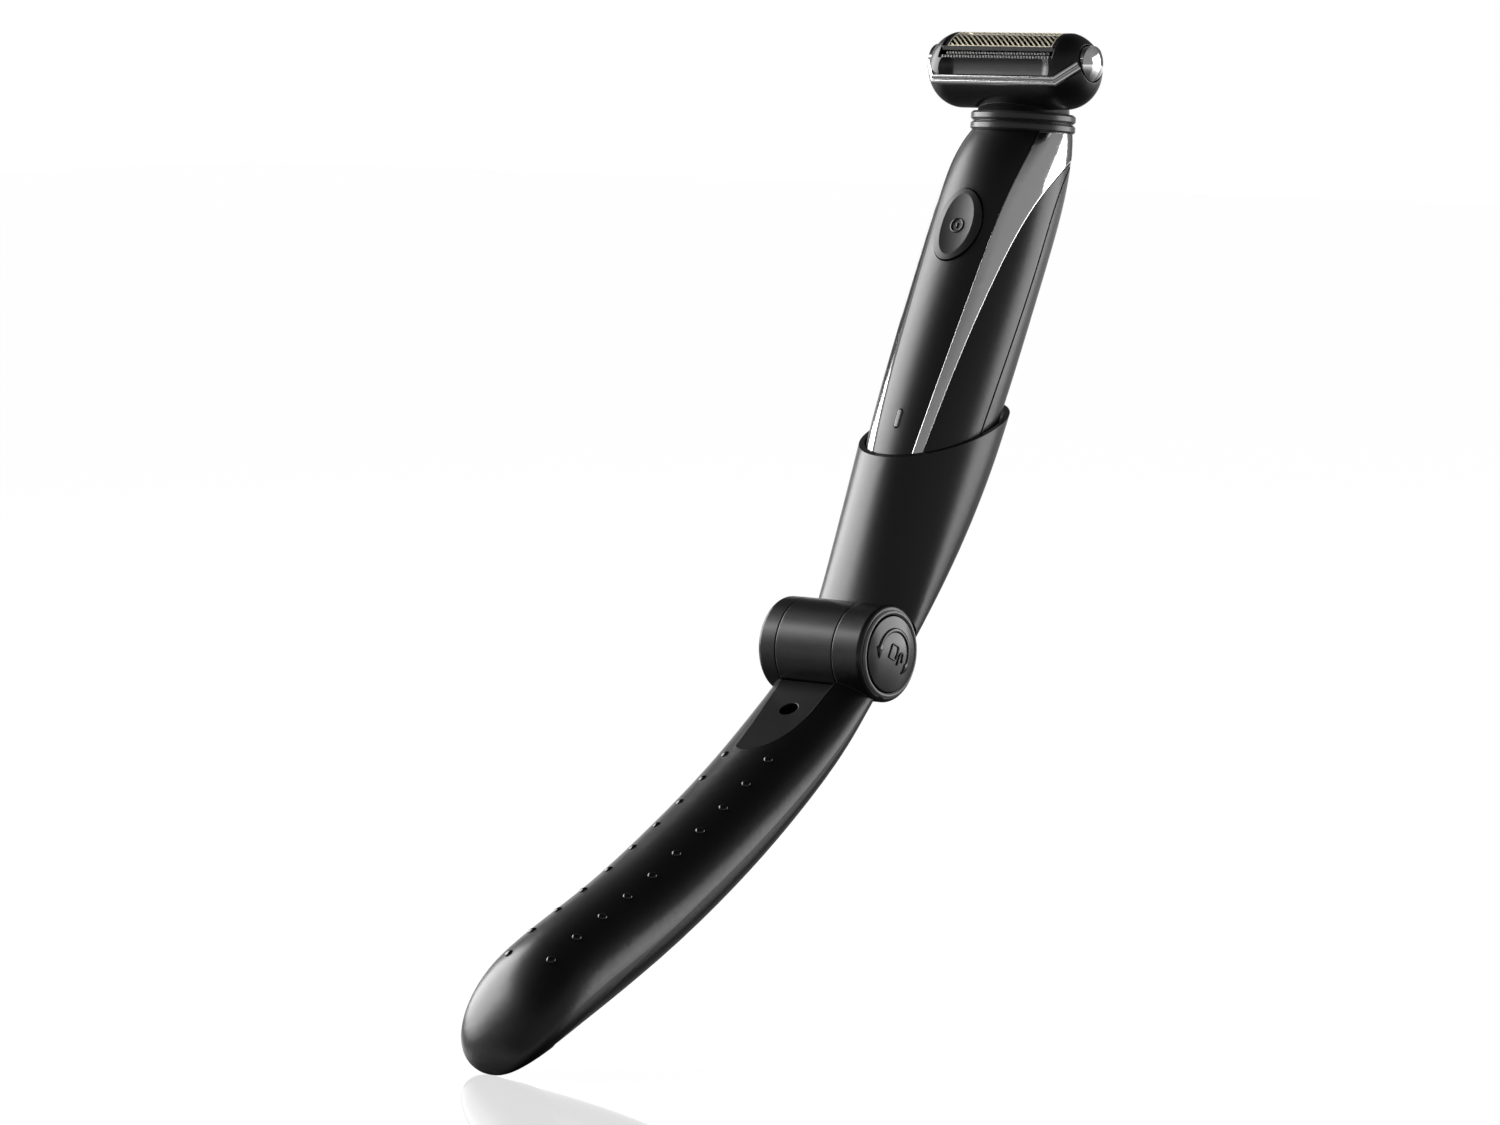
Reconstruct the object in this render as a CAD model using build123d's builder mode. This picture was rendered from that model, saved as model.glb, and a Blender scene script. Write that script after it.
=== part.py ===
"""Body shaver standing in a holder cup that is hinged to a long curved handle.

Frame, in mm: +Z up, +X along the hinge to the right, -Y the front. The origin is the mouth of the hanging hole
in the handle. Every piece is written in its place to a STEP file of its own.
"""

import os
from math import asin, cos, degrees, exp, radians, sin

from build123d import *

os.makedirs("parts", exist_ok=True)

# Fits
panel_gap = 0.12
move_gap = 0.35
running_fit = 0.05
cup_fit = 0.5

# Hinge between handle and holder
hinge_y = 21.4
hinge_z = 14.1
barrel_radius = 13.2
barrel_width = 35.0
barrel_round = 1.3
knuckle_width = 18.8
knuckle_shift = -1.7
knuckle_clearance = 0.4
axle_radius = 3.0
bush_wall = 1.2
release_radius = 10.25
release_depth = 5.6
release_travel = 2.0
release_dome = 1.4
bezel_height = 0.7
bezel_bevel = 0.45

# Handle
handle_slope = 35.5
front_radius = 488.0
front_past_hinge = 1.6
handle_length = 166.4
handle_width = 32.8
handle_depth_top = 11.5
handle_depth_full = 24.2
handle_swell = 32.0
handle_nose = 29.5
nose_width_power = 3.2
nose_depth_power = 1.85
nose_droop = 12.6
handle_top_round = 7.0
handle_wall = 2.4
hollow_start = 38.0
hollow_from_tip = 24.4
cover_share = 0.5
cover_start = 9.0
cover_from_tip = 11.0
cover_end_share = 0.4
cover_corner = 2.5
cover_inset = 0.3
scoop_slope = 29.5
scoop_width = 19.0
scoop_reach = 19.5
hole_radius = 2.65
nub_radius = 1.35
nub_height = 0.6
nub_root = 0.12
nub_row = 7.4
nub_count = 10
nub_first = 46.8
nub_from_tip = 22.0

# Shaver body
shaver_lean = 27.4
body_back = 11.7
body_wall = 1.8
trim_proud = 0.3
seam_gap = 0.3
base_at = 32.0
base_back = 10.6
base_half_width = 15.6
base_half_depth = 10.6
heel_at = 46.0
heel_half_width = 16.4
heel_half_depth = 14.0
waist_at = 64.0
waist_half_width = 17.0
waist_half_depth = 15.6
grip_low_at = 100.0
grip_high_at = 126.0
grip_half_width = 17.8
grip_half_depth = 16.3
shoulder_at = 141.0
shoulder_half_width = 17.3
shoulder_half_depth = 16.2
shoulder_lean = 22.0
throat_at = 151.0
throat_half_width = 16.2
throat_half_depth = 15.6
throat_lean = 15.0
collar_at = 160.7
collar_lean = 5.0
collar_radius = 13.9
base_cap_height = 3.0

# Holder cup
cup_wall = 1.5
rim_at = 54.2
rim_back = -5.6
rim_rise = 15.0
cup_foot_at = 5.0
cup_foot_back = 7.75
cup_foot_half_width = 16.8
cup_foot_half_depth = 6.8
cup_foot_round = 2.5
cup_mid_at = 44.0
cup_mid_back = 11.55
cup_mid_half_width = 18.35
cup_mid_half_depth = 15.8
cup_top_at = 92.0
cup_top_back = 11.0
cup_top_half_width = 19.8
cup_top_half_depth = 18.7

# Power button and indicator
button_at = 124.6
button_length = 21.6
button_width = 14.6
button_proud = 0.5
button_inner = -1.6
button_travel = 0.8
dish_depth = 1.1
dish_radius = 30.0
dish_bow = 40.0
led_at = 66.4
led_length = 5.8
led_width = 1.9
led_gap = 0.35

# Head
head_y = 80.6
head_z = 154.6
head_radius = 10.7
head_half_length = 27.2
head_straight = 17.5
ring_height = 2.5
ring_gap = 0.3
ring_radius = 14.7
foil_radius = 9.2
foil_centre = 1.0
foil_sheet = 0.3
foil_half_length = 17.8
foil_edge = 6.8
foil_rows = 5
foil_columns = 7
frame_low = 5.5
frame_half_length = 19.0
frame_half_depth = 8.3
comb_low = 3.6
comb_high = 4.3
blade_low = 4.65
blade_high = 5.15
comb_half_length = 19.0
comb_front = 9.7
comb_teeth = 37
tooth_pitch = 1.0
tooth_width = 0.5
tooth_length = 1.4
cutter_stroke = 0.8
roundel_radius = 4.9
roundel_lift = 2.2
roundel_travel = 1.2
rib_radius = 0.82
rib_apart = 1.44
roundel_dome = 1.6
roundel_depth = 5.2
roundel_proud = 1.0
neck_radius = 12.9
neck_bore = 9.0
neck_height = 5.0
neck_top_half_width = 14.5
neck_top_half_depth = 7.6
pocket_half_length = 19.4
bay_half_length = 18.2
bay_half_depth = 7.4
bay_floor = -5.0
bridge_room_x = 6.0
bridge_room_y = 3.6
scoop_axis = 15.5
scoop_up = 1.0
front_scoop = 7.2
front_scoop_straight = 15.0
front_scoop_end = 5.2
comb_root = 1.6
blade_half_length = 17.4
blade_root = 1.3
blade_tab = 8.0
cutter_half_length = 16.2
cutter_gap = 0.45
cutter_half_depth = 6.2
cutter_low = 2.6
cutter_pitch = 2.4
cutter_slots = 13
bridge_depth = 5.0
bridge_length = 27.0
fork_half_width = 4.6
fork_room = 3.0
fork_height = 9.0
foil_row_turn = 17.0
foil_hole_pitch = 4.8
foil_hole_length = 3.6
foil_hole_width = 1.5

# Insides
cell_radius = 7.2
cell_length = 50.0
motor_radius = 9.5
motor_length = 34.0
plate = 2.0
cell_at = 46.0
board_front = 0.4
board_back = 1.8
board_half_width = 7.0
board_low = 60.0
board_high = 134.0
spine_back = 22.7
spine_width = 12.0
socket_radius = 3.6
plug_radius = 1.75
socket_depth = 9.0
shaft_grip = 8.0
shaft_radius = 1.5
eccentric_radius = 3.4
eccentric_height = 2.5
pin_radius = 1.0
pin_height = 12.0

hinge_centre = Vector(0, hinge_y, hinge_z)
half_barrel = barrel_width / 2
bezel_radius = barrel_radius - barrel_round
half_knuckle = knuckle_width / 2
knuckle_left = knuckle_shift - half_knuckle
slot_left = knuckle_left - knuckle_clearance
slot_width = knuckle_width + 2 * knuckle_clearance
hollow_end = handle_length - hollow_from_tip
cover_end = handle_length - cover_from_tip
nub_pitch = (handle_length - nub_from_tip - nub_first) / (nub_count - 1)
front_at_hinge = Vector(0, -sin(radians(handle_slope)), cos(radians(handle_slope)))
arc_centre = hinge_centre + front_at_hinge * (front_radius + front_past_hinge)


def leaning(lean):
    return (0, sin(radians(lean)), cos(radians(lean)))


shaver_plane = Plane(origin=hinge_centre, x_dir=(1, 0, 0), z_dir=leaning(shaver_lean))


def shaver_point(along, back):
    return shaver_plane.from_local_coords(Vector(0, back, along))


def shaver_section(along, back, lean=shaver_lean):
    return Plane(origin=shaver_point(along, back), x_dir=(1, 0, 0), z_dir=leaning(lean))


def handle_plane(along, depth):
    """Plane across the handle, depth below its front line; its y axis points out of the front."""
    slope = radians(handle_slope) - along / front_radius
    front = Vector(0, -sin(slope), cos(slope))
    origin = arc_centre - front * (front_radius + depth)
    return Plane(origin=origin, x_dir=(1, 0, 0), z_dir=(0, -cos(slope), -sin(slope)))


def handle_depth(along):
    return handle_depth_full - (handle_depth_full - handle_depth_top) * exp(-max(along, 0) / handle_swell)


def handle_form(inset):
    """The handle's outside, pulled in by inset."""
    half_width = handle_width / 2 - inset
    nose_start = handle_length - handle_nose
    with BuildPart() as form:
        for turn in (70, 45, 20):
            along = -handle_top_round * sin(radians(turn))
            scale = cos(radians(turn))
            half_depth = handle_depth(along) / 2
            with BuildSketch(handle_plane(along, half_depth)):
                Ellipse(half_width * scale, (half_depth - inset) * scale)
        for along in (6.0, 22.0, 45.0, 80.0, 108.0, nose_start):
            half_depth = handle_depth(along) / 2
            with BuildSketch(handle_plane(along, half_depth)):
                Ellipse(half_width, half_depth - inset)
        for share in (0.3, 0.55, 0.75, 0.88, 0.95, 0.985, 0.9985):
            along = nose_start + handle_nose * share
            across = (1 - share**nose_width_power) ** (1 / nose_width_power)
            deep = (1 - share**nose_depth_power) ** (1 / nose_depth_power)
            half_depth = handle_depth(along) / 2
            with BuildSketch(handle_plane(along, half_depth + nose_droop * (1 - deep))):
                Ellipse(half_width * across, (half_depth - inset) * deep)
        loft()
    return form.part


def shaver_form(grow, longer=0.0):
    """The shaver body's outside, grown by grow and made longer at both ends."""
    sections = [
        (base_at - longer, base_back, shaver_lean, base_half_width, base_half_depth),
        (heel_at, body_back, shaver_lean, heel_half_width, heel_half_depth),
        (waist_at, body_back, shaver_lean, waist_half_width, waist_half_depth),
        (grip_low_at, body_back, shaver_lean, grip_half_width, grip_half_depth),
        (grip_high_at, body_back, shaver_lean, grip_half_width, grip_half_depth),
        (shoulder_at, body_back, shoulder_lean, shoulder_half_width, shoulder_half_depth),
        (throat_at, body_back, throat_lean, throat_half_width, throat_half_depth),
        (collar_at + longer, body_back, collar_lean, collar_radius, collar_radius),
    ]
    with BuildPart() as form:
        for along, back, lean, half_width, half_depth in sections:
            with BuildSketch(shaver_section(along, back, lean)):
                Ellipse(half_width + grow, half_depth + grow)
        loft()
    return form.part


# Handle shell with the fork of the hinge
def cover_region(gap):
    """Block behind the cover's joint line, pulled in by gap all round."""
    inner = []
    for along, share in [(cover_start + gap, 1), (40.0, 1), (100.0, 1), (cover_end - gap, cover_end_share)]:
        inner.append(handle_plane(along, handle_depth(along) * (1 - cover_share * share) + gap).origin)
    far = [handle_plane(along, 2 * handle_depth_full).origin for along in (cover_end - gap, cover_start + gap)]
    joint_line = [(p.Y, p.Z) for p in inner]
    behind = [(p.Y, p.Z) for p in far]
    with BuildPart() as region:
        with BuildSketch(Plane.YZ) as outline:
            with BuildLine():
                Spline(*joint_line)
                Polyline(joint_line[-1], *behind, joint_line[0])
            make_face()
            fillet(outline.vertices().sort_by_distance(Vector(*joint_line[0]))[0], cover_corner)
        extrude(amount=handle_width, both=True)
    return region.part


with BuildPart() as handle_hollow:
    for along in (hollow_start, (hollow_start + hollow_end) / 2, hollow_end):
        with BuildSketch(handle_plane(along, handle_depth(along) / 2)):
            Ellipse(handle_width / 2 - handle_wall, handle_depth(along) / 2 - handle_wall)
    loft()

nub_places = []
for number in range(nub_count):
    for side in (-1, 1):
        along = nub_first + number * nub_pitch
        half_depth = handle_depth(along) / 2
        height = half_depth * (1 - (nub_row / (handle_width / 2)) ** 2) ** 0.5
        station = handle_plane(along, half_depth)
        sideways = side * nub_row / (handle_width / 2) ** 2
        normal = station.x_dir * sideways + station.y_dir * (height / half_depth**2)
        origin = station.from_local_coords(Vector(side * nub_row, height, 0))
        nub_places.append(Plane(origin=origin, z_dir=normal))

scoop_normal = Vector(0, -sin(radians(scoop_slope)), cos(radians(scoop_slope)))
scoop_plane = Plane(origin=(0, 0, 0), x_dir=(1, 0, 0), z_dir=scoop_normal)

with BuildPart() as knuckle_slot:
    with BuildSketch(Plane.YZ.offset(slot_left)):
        with Locations((hinge_y, hinge_z)):
            Circle(barrel_radius + knuckle_clearance)
    extrude(amount=slot_width)

with BuildPart() as handle_shell:
    add(handle_form(0))
    with BuildSketch(Plane(origin=hinge_centre, x_dir=(1, 0, 0), z_dir=(0, -1, 0))) as barrel_profile:
        Rectangle(barrel_width, barrel_radius, align=(Align.CENTER, Align.MIN))
        fillet(barrel_profile.vertices().group_by(Axis.Y)[-1], barrel_round)
    revolve(axis=Axis(hinge_centre, (1, 0, 0)))
    add(knuckle_slot.part, mode=Mode.SUBTRACT)
    with BuildSketch(Plane.YZ.offset(half_barrel - release_depth)):
        with Locations((hinge_y, hinge_z)):
            Circle(release_radius + move_gap)
    extrude(amount=release_depth, mode=Mode.SUBTRACT)
    with BuildSketch(Plane.YZ.offset(-half_barrel + 2.5)):
        with Locations((hinge_y, hinge_z)):
            Circle(axle_radius)
    extrude(amount=barrel_width, mode=Mode.SUBTRACT)
    with BuildSketch(scoop_plane):
        with Locations((knuckle_shift, 0)):
            Ellipse(scoop_width / 2, scoop_reach)
            Rectangle(scoop_width, scoop_reach, align=(Align.CENTER, Align.MIN))
    extrude(amount=scoop_reach, mode=Mode.SUBTRACT)
    with BuildSketch(scoop_plane):
        Circle(hole_radius)
    extrude(amount=-40, mode=Mode.SUBTRACT)
    add(handle_hollow.part, mode=Mode.SUBTRACT)
    add(cover_region(0), mode=Mode.SUBTRACT)
handle_shell.part.label = "handle_shell"
export_step(handle_shell.part, "parts/handle_shell.step")

# Dark rear cover of the handle
with BuildPart() as handle_cover:
    add(handle_form(cover_inset))
    with BuildSketch(scoop_plane):
        Circle(hole_radius)
    extrude(amount=-60, mode=Mode.SUBTRACT)
    add(cover_region(panel_gap), mode=Mode.INTERSECT)
    add(handle_hollow.part, mode=Mode.SUBTRACT)
    add(knuckle_slot.part, mode=Mode.SUBTRACT)
handle_cover.part.label = "handle_cover"
export_step(handle_cover.part, "parts/handle_cover.step")

# Grip nubs in two rows on the front of the handle
nub_ball = (nub_radius**2 + nub_height**2) / (2 * nub_height)
nub_latitude = degrees(asin((nub_ball - nub_height) / nub_ball))

with BuildPart() as grip_nubs:
    with Locations(*[place.offset(-nub_root) for place in nub_places]):
        Sphere(nub_ball, arc_size1=nub_latitude, align=(Align.CENTER, Align.CENTER, Align.MIN))
grip_nubs.part.label = "grip_nubs"
export_step(grip_nubs.part, "parts/grip_nubs.step")

# Hinge axle, held in both rings of the fork
with BuildPart() as hinge_axle:
    with BuildSketch(Plane.YZ.offset(-half_barrel + 2.5)):
        with Locations((hinge_y, hinge_z)):
            Circle(axle_radius)
    extrude(amount=barrel_width - 2.5 - release_depth)
hinge_axle.part.label = "hinge_axle"
export_step(hinge_axle.part, "parts/hinge_axle.step")

# Light bezel round the release button
with BuildPart() as hinge_bezel:
    with BuildSketch(Plane.YZ.offset(half_barrel)):
        with Locations((hinge_y, hinge_z)):
            Circle(bezel_radius)
            Circle(release_radius + move_gap, mode=Mode.SUBTRACT)
    extrude(amount=bezel_height)
    chamfer(hinge_bezel.edges().filter_by(GeomType.CIRCLE).group_by(Axis.X)[-1], bezel_bevel)
hinge_bezel.part.label = "hinge_bezel"
export_step(hinge_bezel.part, "parts/hinge_bezel.step")

# Domed release button in the right end of the hinge
def domed_disc(centre, back, front, radius, dome):
    """Disc along X from back to front, its front face a cap of a sphere of height dome."""
    ball = (radius**2 + dome**2) / (2 * dome)
    half_turn = asin(radius / ball) / 2
    middle = (front - ball + ball * cos(half_turn), ball * sin(half_turn))
    with BuildPart() as disc:
        with BuildSketch(Plane(origin=centre, x_dir=(1, 0, 0), z_dir=(0, -1, 0))):
            with BuildLine():
                Polyline((front, 0), (back, 0), (back, radius), (front - dome, radius))
                ThreePointArc((front - dome, radius), middle, (front, 0))
            make_face()
        revolve(axis=Axis(centre, (1, 0, 0)))
    return disc.part


release_back = half_barrel - release_depth + release_travel + move_gap
release_front = half_barrel + bezel_height + release_dome

with BuildPart() as release_button:
    add(domed_disc(hinge_centre, release_back, release_front, release_radius, release_dome))
release_button.part.label = "release_button"
export_step(release_button.part, "parts/release_button.step")

# Holder cup with the centre knuckle of the hinge
rim_plane = Plane(
    origin=shaver_point(rim_at, rim_back),
    x_dir=(1, 0, 0),
    z_dir=(0, -sin(radians(rim_rise)), cos(radians(rim_rise))),
)


def cup_form(inset):
    """Tapered round body of the cup, pulled in by inset and cut off at the rim."""
    sections = [
        (cup_foot_at, cup_foot_back, cup_foot_half_width, cup_foot_half_depth),
        (cup_mid_at, cup_mid_back, cup_mid_half_width, cup_mid_half_depth),
        (cup_top_at, cup_top_back, cup_top_half_width, cup_top_half_depth),
    ]
    with BuildPart() as form:
        for along, back, half_width, half_depth in sections:
            with BuildSketch(shaver_section(along, back)):
                Ellipse(half_width - inset, half_depth - inset)
        loft()
        with BuildSketch(rim_plane):
            Rectangle(200, 200)
        extrude(amount=100, mode=Mode.SUBTRACT)
    return form.part


with BuildPart() as cup_inside:
    add(cup_form(cup_wall))
    with BuildSketch(shaver_section(base_at - cup_fit, body_back)):
        Circle(60)
    extrude(amount=-100, mode=Mode.SUBTRACT)

with BuildPart() as holder_cup:
    add(cup_form(0))
    fillet(holder_cup.edges().sort_by(Axis.Z)[0], cup_foot_round)
    add(cup_inside.part, mode=Mode.SUBTRACT)
    with BuildSketch(Plane.YZ.offset(-2 * barrel_width)):
        with Locations((hinge_y, hinge_z)):
            Circle(barrel_radius + knuckle_clearance)
    extrude(amount=4 * barrel_width, mode=Mode.SUBTRACT)
    with BuildSketch(Plane.YZ.offset(knuckle_left)):
        with Locations((hinge_y, hinge_z)):
            Circle(barrel_radius)
        with BuildLine():
            web = [shaver_point(*p) for p in [(0, barrel_radius), (16, 15.0), (24, 6.0), (12.0, 3.0)]]
            Polyline(*[(p.Y, p.Z) for p in web], close=True)
        make_face()
    extrude(amount=knuckle_width)
    with BuildSketch(Plane.YZ.offset(knuckle_left)):
        with Locations((hinge_y, hinge_z)):
            Circle(axle_radius + bush_wall)
    extrude(amount=knuckle_width, mode=Mode.SUBTRACT)
holder_cup.part.label = "holder_cup"
export_step(holder_cup.part, "parts/holder_cup.step")

# Bush in the knuckle, running on the axle
with BuildPart() as hinge_bush:
    with BuildSketch(Plane.YZ.offset(knuckle_left)):
        with Locations((hinge_y, hinge_z)):
            Circle(axle_radius + bush_wall)
            Circle(axle_radius + running_fit, mode=Mode.SUBTRACT)
    extrude(amount=knuckle_width)
hinge_bush.part.label = "hinge_bush"
export_step(hinge_bush.part, "parts/hinge_bush.step")

# Shaver housing, split into front, sides, trims and rear on joint lines drawn at 45 degrees to the front
body_outside = shaver_form(0)
body_inside = shaver_form(-body_wall, 1.5)
body_proud = shaver_form(trim_proud)
panel_plane = Plane(
    origin=hinge_centre,
    x_dir=shaver_plane.x_dir + shaver_plane.y_dir,
    z_dir=shaver_plane.x_dir - shaver_plane.y_dir,
)
outer_far = 70.0
inner_far = -70.0
past_top = collar_at + 14.0
below_base = base_at - 4.0
trim_front_line = [(2.6, below_base), (3.1, 57.0), (5.4, 109.0), (7.7, 138.5), (11.4, 158.0), (15.0, past_top)]
trim_rear_line = [(4.8, below_base), (5.8, 58.0), (10.6, 111.0), (15.6, 135.5), (21.4, 151.0), (31.0, past_top)]
rear_line = [(19.4, below_base), (19.9, 71.0), (21.6, 123.0), (22.6, 150.0), (31.4, past_top)]


def panel_region(line, shift, far, depth):
    """Block between a joint line moved over by shift and the straight line at far, from depth outwards."""
    moved = [(across + shift, along) for across, along in line]
    with BuildPart() as region:
        with BuildSketch(panel_plane.offset(depth)):
            with BuildLine():
                Spline(*moved)
                Polyline(moved[-1], (far, moved[-1][1]), (far, moved[0][1]), moved[0])
            make_face()
        extrude(amount=outer_far - depth)
    return region.part


def above_base(gap):
    """Everything over the base cap."""
    with BuildPart() as region:
        with BuildSketch(shaver_section(base_at + base_cap_height + gap, body_back)):
            Circle(60)
        extrude(amount=2 * past_top)
    return region.part


half_gap = panel_gap / 2
half_seam = seam_gap / 2
side_depth = -8.0

with BuildPart() as front_shell:
    add(body_outside)
    add(above_base(panel_gap), mode=Mode.INTERSECT)
    add(panel_region(trim_front_line, -half_gap, outer_far, inner_far), mode=Mode.SUBTRACT)
    add(mirror(panel_region(trim_front_line, -half_gap, outer_far, inner_far), about=Plane.YZ), mode=Mode.SUBTRACT)
    add(body_inside, mode=Mode.SUBTRACT)
    with BuildSketch(Plane(origin=shaver_point(button_at, 0), x_dir=(1, 0, 0), z_dir=shaver_plane.y_dir)):
        Ellipse(button_width / 2 + move_gap, button_length / 2 + move_gap)
    extrude(amount=-20, mode=Mode.SUBTRACT)
    with BuildSketch(Plane(origin=shaver_point(led_at, 0), x_dir=(1, 0, 0), z_dir=shaver_plane.y_dir)):
        SlotOverall(led_length, led_width, rotation=90)
    extrude(amount=-20, mode=Mode.SUBTRACT)
front_shell.part.label = "front_shell"
export_step(front_shell.part, "parts/front_shell.step")

with BuildPart() as trim_right:
    add(body_proud)
    add(above_base(panel_gap), mode=Mode.INTERSECT)
    add(panel_region(trim_front_line, half_gap, outer_far, side_depth), mode=Mode.INTERSECT)
    add(panel_region(trim_rear_line, -half_gap, outer_far, inner_far), mode=Mode.SUBTRACT)
    add(body_inside, mode=Mode.SUBTRACT)
trim_right.part.label = "trim_right"
export_step(trim_right.part, "parts/trim_right.step")

with BuildPart() as trim_left:
    add(mirror(trim_right.part, about=Plane.YZ))
trim_left.part.label = "trim_left"
export_step(trim_left.part, "parts/trim_left.step")

with BuildPart() as side_panel_right:
    add(body_outside)
    add(above_base(panel_gap), mode=Mode.INTERSECT)
    add(panel_region(trim_rear_line, half_gap, outer_far, side_depth), mode=Mode.INTERSECT)
    add(panel_region(rear_line, -half_seam, outer_far, inner_far), mode=Mode.SUBTRACT)
    add(body_inside, mode=Mode.SUBTRACT)
side_panel_right.part.label = "side_panel_right"
export_step(side_panel_right.part, "parts/side_panel_right.step")

with BuildPart() as side_panel_left:
    add(mirror(side_panel_right.part, about=Plane.YZ))
side_panel_left.part.label = "side_panel_left"
export_step(side_panel_left.part, "parts/side_panel_left.step")

with BuildPart() as rear_shell:
    add(body_outside)
    add(above_base(panel_gap), mode=Mode.INTERSECT)
    add(panel_region(rear_line, half_seam, inner_far, side_depth), mode=Mode.SUBTRACT)
    add(mirror(panel_region(rear_line, half_seam, inner_far, side_depth), about=Plane.YZ), mode=Mode.SUBTRACT)
    add(body_inside, mode=Mode.SUBTRACT)
rear_shell.part.label = "rear_shell"
export_step(rear_shell.part, "parts/rear_shell.step")

# Base cap with the charging socket in it
with BuildPart() as base_cap:
    add(body_outside)
    add(above_base(0), mode=Mode.SUBTRACT)
    with BuildSketch(shaver_section(base_at, base_back)):
        Circle(socket_radius)
    extrude(amount=plate * 4, both=True, mode=Mode.SUBTRACT)
base_cap.part.label = "base_cap"
export_step(base_cap.part, "parts/base_cap.step")

with BuildPart() as charge_socket:
    with BuildSketch(shaver_section(base_at, base_back)):
        Circle(socket_radius)
        Circle(plug_radius, mode=Mode.SUBTRACT)
    extrude(amount=socket_depth)
    with BuildSketch(shaver_section(base_at + socket_depth, base_back)):
        Circle(socket_radius)
    extrude(amount=cell_at - plate - base_at - socket_depth)
charge_socket.part.label = "charge_socket"
export_step(charge_socket.part, "parts/charge_socket.step")

# Chassis: three bulkheads on a spine, filling the housing
motor_at = cell_at + cell_length + plate
motor_top = motor_at + motor_length

with BuildPart() as chassis:
    for low in (cell_at - plate, motor_at - plate, motor_top):
        with BuildSketch(shaver_section(low, body_back)):
            Circle(40)
        extrude(amount=plate)
    with BuildSketch(shaver_section(cell_at - plate, body_back)):
        with Locations((0, spine_back - body_back)):
            Rectangle(spine_width, plate)
    extrude(amount=motor_top + plate - cell_at + plate)
    add(body_inside, mode=Mode.INTERSECT)
    with BuildSketch(shaver_section(base_at, board_back)):
        Rectangle(60, 60, align=(Align.CENTER, Align.MAX))
    extrude(amount=past_top, mode=Mode.SUBTRACT)
    with BuildSketch(shaver_section(motor_top, body_back)):
        Circle(eccentric_radius + move_gap)
    extrude(amount=plate, mode=Mode.SUBTRACT)
chassis.part.label = "chassis"
export_step(chassis.part, "parts/chassis.step")

with BuildPart() as battery_cell:
    with BuildSketch(shaver_section(cell_at, body_back)):
        Circle(cell_radius)
    extrude(amount=cell_length)
battery_cell.part.label = "battery_cell"
export_step(battery_cell.part, "parts/battery_cell.step")

with BuildPart() as motor:
    with BuildSketch(shaver_section(motor_at, body_back)):
        Circle(motor_radius)
    extrude(amount=motor_length)
    with BuildSketch(shaver_section(motor_top - shaft_grip, body_back)):
        Circle(shaft_radius + running_fit)
    extrude(amount=shaft_grip, mode=Mode.SUBTRACT)
motor.part.label = "motor"
export_step(motor.part, "parts/motor.step")

# Eccentric on the motor shaft, its pin standing in the drive bridge's fork
with BuildPart() as eccentric:
    with BuildSketch(shaver_section(motor_top - shaft_grip + move_gap, body_back)):
        Circle(shaft_radius)
    extrude(amount=shaft_grip)
    with BuildSketch(shaver_section(motor_top + move_gap, body_back)):
        Circle(eccentric_radius)
    extrude(amount=eccentric_height)
    with BuildSketch(shaver_section(motor_top + move_gap + eccentric_height, body_back)):
        with Locations((cutter_stroke, 0)):
            Circle(pin_radius)
    extrude(amount=pin_height)
eccentric.part.label = "eccentric"
export_step(eccentric.part, "parts/eccentric.step")

# Circuit board behind the front shell, with the key switch and the indicator's light window
front_facing = Plane(origin=hinge_centre, x_dir=(1, 0, 0), z_dir=-shaver_plane.y_dir)

with BuildPart() as circuit_board:
    with BuildSketch(front_facing.offset(-board_back)):
        with Locations((0, (board_low + board_high) / 2)):
            Rectangle(2 * board_half_width, board_high - board_low)
    extrude(amount=board_back - board_front)
circuit_board.part.label = "circuit_board"
export_step(circuit_board.part, "parts/circuit_board.step")

with BuildPart() as key_switch:
    with BuildSketch(front_facing.offset(-board_front)):
        with Locations((0, button_at)):
            Rectangle(6, 6)
    extrude(amount=board_front - button_inner - button_travel - move_gap)
key_switch.part.label = "key_switch"
export_step(key_switch.part, "parts/key_switch.step")

with BuildPart() as led_window:
    with BuildSketch(front_facing.offset(-board_front)):
        with Locations((0, led_at)):
            SlotOverall(led_length - 2 * led_gap, led_width - 2 * led_gap, rotation=90)
    extrude(amount=20)
    add(body_proud, mode=Mode.INTERSECT)
led_window.part.label = "led_window"
export_step(led_window.part, "parts/led_window.step")

# Power button: an oval key with a dished almond face
dish_centre = shaver_point(button_at, body_back - grip_half_depth - button_proud + dish_depth - dish_radius)
dish_reach = button_length / 2
dish_end = dish_radius - dish_bow + (dish_bow**2 - dish_reach**2) ** 0.5

with BuildPart() as power_button:
    add(shaver_form(button_proud))
    with BuildSketch(front_facing.offset(-button_inner)):
        with Locations((0, button_at)):
            Ellipse(button_width / 2, button_length / 2)
    extrude(amount=20, mode=Mode.INTERSECT)
    with BuildSketch(Plane(origin=dish_centre, x_dir=shaver_plane.z_dir, z_dir=(-1, 0, 0))):
        with BuildLine():
            ThreePointArc((-dish_reach, dish_end), (0, dish_radius), (dish_reach, dish_end))
            Polyline((dish_reach, dish_end), (dish_reach, 0), (-dish_reach, 0), (-dish_reach, dish_end))
        make_face()
    revolve(axis=Axis(dish_centre, shaver_plane.z_dir), mode=Mode.SUBTRACT)
power_button.part.label = "power_button"
export_step(power_button.part, "parts/power_button.step")

# Collar rings between body and head
collar_plane = shaver_section(collar_at, body_back, collar_lean)
collar_height = 2 * ring_height + ring_gap

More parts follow.
